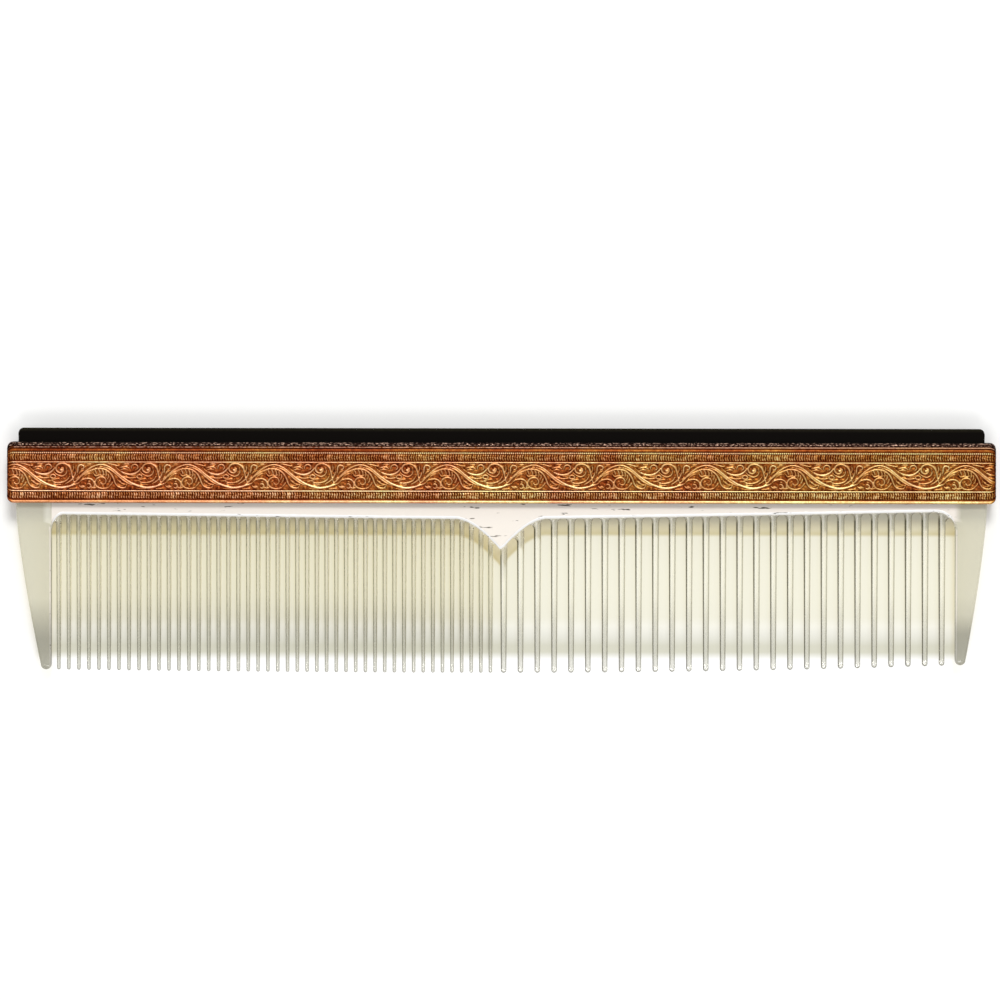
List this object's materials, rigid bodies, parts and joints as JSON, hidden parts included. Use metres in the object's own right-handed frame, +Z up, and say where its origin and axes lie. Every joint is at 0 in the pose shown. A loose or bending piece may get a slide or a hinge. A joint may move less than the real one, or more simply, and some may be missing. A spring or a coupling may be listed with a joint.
{
  "type": "hair comb",
  "caption": "Dressing comb with a clear toothed blade, fine and coarse rows with end guards, held in a black spine bar between two gilt ornamental shells.",
  "frame": {"origin": "under the middle of the whole comb, on the plane that the rear shell rests on", "axes": "+X along the spine, from the fine teeth to the coarse teeth; +Y from the tooth tips to the spine; +Z up through the front shell"},
  "size_m": [0.18, 0.0446, 0.007],
  "materials": {
    "clear_acrylic": "clear, faintly yellowed, polished",
    "black_plastic": "black, satin, edges slightly worn",
    "gilt_brass": "gilt stamping with dark brown patina in its recesses",
    "pin_brass": "plain drawn wire"
  },
  "bodies": {
    "root": {"comb_blade": "clear_acrylic", "spine_bar": "black_plastic", "front_shell": "gilt_brass", "rear_shell": "gilt_brass", "spine_pin_1": "pin_brass", "spine_pin_2": "pin_brass", "spine_pin_3": "pin_brass", "spine_pin_4": "pin_brass"}
  },
  "joints": []
}
